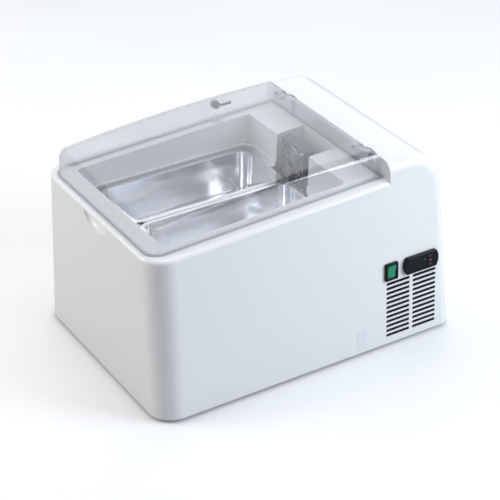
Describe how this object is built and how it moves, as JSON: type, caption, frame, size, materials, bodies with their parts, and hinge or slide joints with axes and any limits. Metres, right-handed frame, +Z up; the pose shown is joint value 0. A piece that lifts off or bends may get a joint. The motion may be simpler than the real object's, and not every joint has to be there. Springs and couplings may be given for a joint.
{
  "type": "counter-top ice-cream freezer",
  "caption": "Counter-top ice-cream freezer with a low insulated basin for two scooping pans, clear hinged domed lid, raised machine housing, side vents, switch and thermostat",
  "frame": {"origin": "middle of the footprint, on the plane the four feet stand on", "axes": "+Z up, -Y towards the user at the low basin, +Y towards the machine housing, +X towards the side with the switch, thermostat and vents"},
  "size_m": [0.504, 0.7, 0.4362],
  "materials": {
    "shell_white": "glossy moulded plastic",
    "clear_acrylic": "clear thermoformed acrylic",
    "seal_clear": "soft translucent seal",
    "stainless": "stainless sheet",
    "zinc_steel": "zinc plated steel",
    "chromed": "bright plated metal",
    "foam": "polyurethane foam",
    "copper": "copper tube",
    "fin_aluminium": "thin aluminium sheet",
    "black_steel": "black painted steel",
    "black_plastic": "black moulded plastic",
    "dark_gloss": "dark glossy window",
    "green_rocker": "green translucent plastic",
    "key_grey": "dark key caps",
    "white_panel": "white painted sheet",
    "rubber_black": "black rubber",
    "label_white": "blank film label",
    "filter_black": "open-cell foam pad",
    "hinge_grey": "grey moulded plastic"
  },
  "bodies": {
    "cabinet": {"outer_shell": "shell_white", "base_pan": "zinc_steel", "base_screws": "zinc_steel", "rubber_feet": "rubber_black", "air_filter": "filter_black", "foot_screws": "zinc_steel", "inner_tank": "stainless", "foam_insulation": "foam", "evaporator_coil": "copper", "pan_rails": "stainless", "housing_hinge_leaves": "hinge_grey", "housing_hinge_screws": "zinc_steel", "hinge_pins": "zinc_steel", "lock_strike": "stainless", "strike_rivets": "chromed", "evap_fan_frame": "black_plastic", "evap_fan_guard": "chromed", "evap_fan_screws": "chromed", "temperature_probe": "black_plastic", "compressor": "black_steel", "compressor_bracket": "black_steel", "compressor_grommets": "rubber_black", "compressor_bolts": "zinc_steel", "terminal_cover": "black_plastic", "condenser_fins": "fin_aluminium", "condenser_tube": "copper", "condenser_shroud": "zinc_steel", "shroud_screws": "zinc_steel", "condenser_motor": "black_steel", "filter_drier": "copper", "discharge_line": "copper", "liquid_line": "copper", "capillary_tube": "copper", "suction_line": "copper", "rear_panel": "white_panel", "rear_panel_screws": "zinc_steel", "cord_gland": "black_plastic", "rocker_bezel": "black_plastic", "controller_case": "black_plastic", "controller_front": "black_plastic", "controller_window": "dark_gloss", "rating_plate": "label_white"},
    "lid": {"lid_cover": "clear_acrylic", "lid_seal": "seal_clear", "lid_hinge_leaves": "clear_acrylic", "lid_hinge_screws": "zinc_steel", "lock_barrel": "chromed", "lock_nut": "black_steel"},
    "lock_cam": {"lock_cam": "black_steel", "lock_cam_screw": "chromed"},
    "pan_near": {"pan_near": "stainless"},
    "pan_far": {"pan_far": "stainless"},
    "evap_rotor": {"evap_fan_rotor": "black_plastic"},
    "condenser_rotor": {"condenser_rotor": "fin_aluminium"},
    "rocker": {"rocker_switch": "green_rocker"},
    "key_up": {"key_up": "key_grey"},
    "key_set": {"key_set": "key_grey"},
    "key_down": {"key_down": "key_grey"}
  },
  "joints": [
    {"name": "lid_hinge", "type": "hinge", "parent": "cabinet", "child": "lid", "pos_m": [0, 0.19, 0.418], "axis": [-1, 0, 0], "range_deg": [0, 95]},
    {"name": "lock_cam_turn", "type": "hinge", "parent": "lid", "child": "lock_cam", "pos_m": [-0.19, 0.044, 0.408], "axis": [-1, 0, 0], "range_deg": [0, 90]},
    {"name": "rocker_tilt", "type": "hinge", "parent": "cabinet", "child": "rocker", "pos_m": [0.23929, 0.194, 0.17653], "axis": [0, -1, 0], "range_deg": [0, 14]},
    {"name": "key_up", "type": "slide", "parent": "cabinet", "child": "key_up", "axis": [-0.998, 0, -0.0634], "range_m": [0, 0.0008], "stiffness_N_per_m": 400},
    {"name": "key_set", "type": "slide", "parent": "cabinet", "child": "key_set", "axis": [-0.998, 0, -0.0634], "range_m": [0, 0.0008], "stiffness_N_per_m": 400},
    {"name": "key_down", "type": "slide", "parent": "cabinet", "child": "key_down", "axis": [-0.998, 0, -0.0634], "range_m": [0, 0.0008], "stiffness_N_per_m": 400},
    {"name": "evap_fan_spin", "type": "hinge", "parent": "cabinet", "child": "evap_rotor", "pos_m": [-0.018, 0.1315, 0.326], "axis": [0, -1, 0], "continuous": true},
    {"name": "condenser_fan_spin", "type": "hinge", "parent": "cabinet", "child": "condenser_rotor", "pos_m": [0.176, 0.244, 0.082], "axis": [1, 0, 0], "continuous": true},
    {"name": "pan_near_lift", "type": "slide", "parent": "cabinet", "child": "pan_near", "axis": [0, 0, 1], "range_m": [0, 0.08]},
    {"name": "pan_far_lift", "type": "slide", "parent": "cabinet", "child": "pan_far", "axis": [0, 0, 1], "range_m": [0, 0.08]}
  ]
}
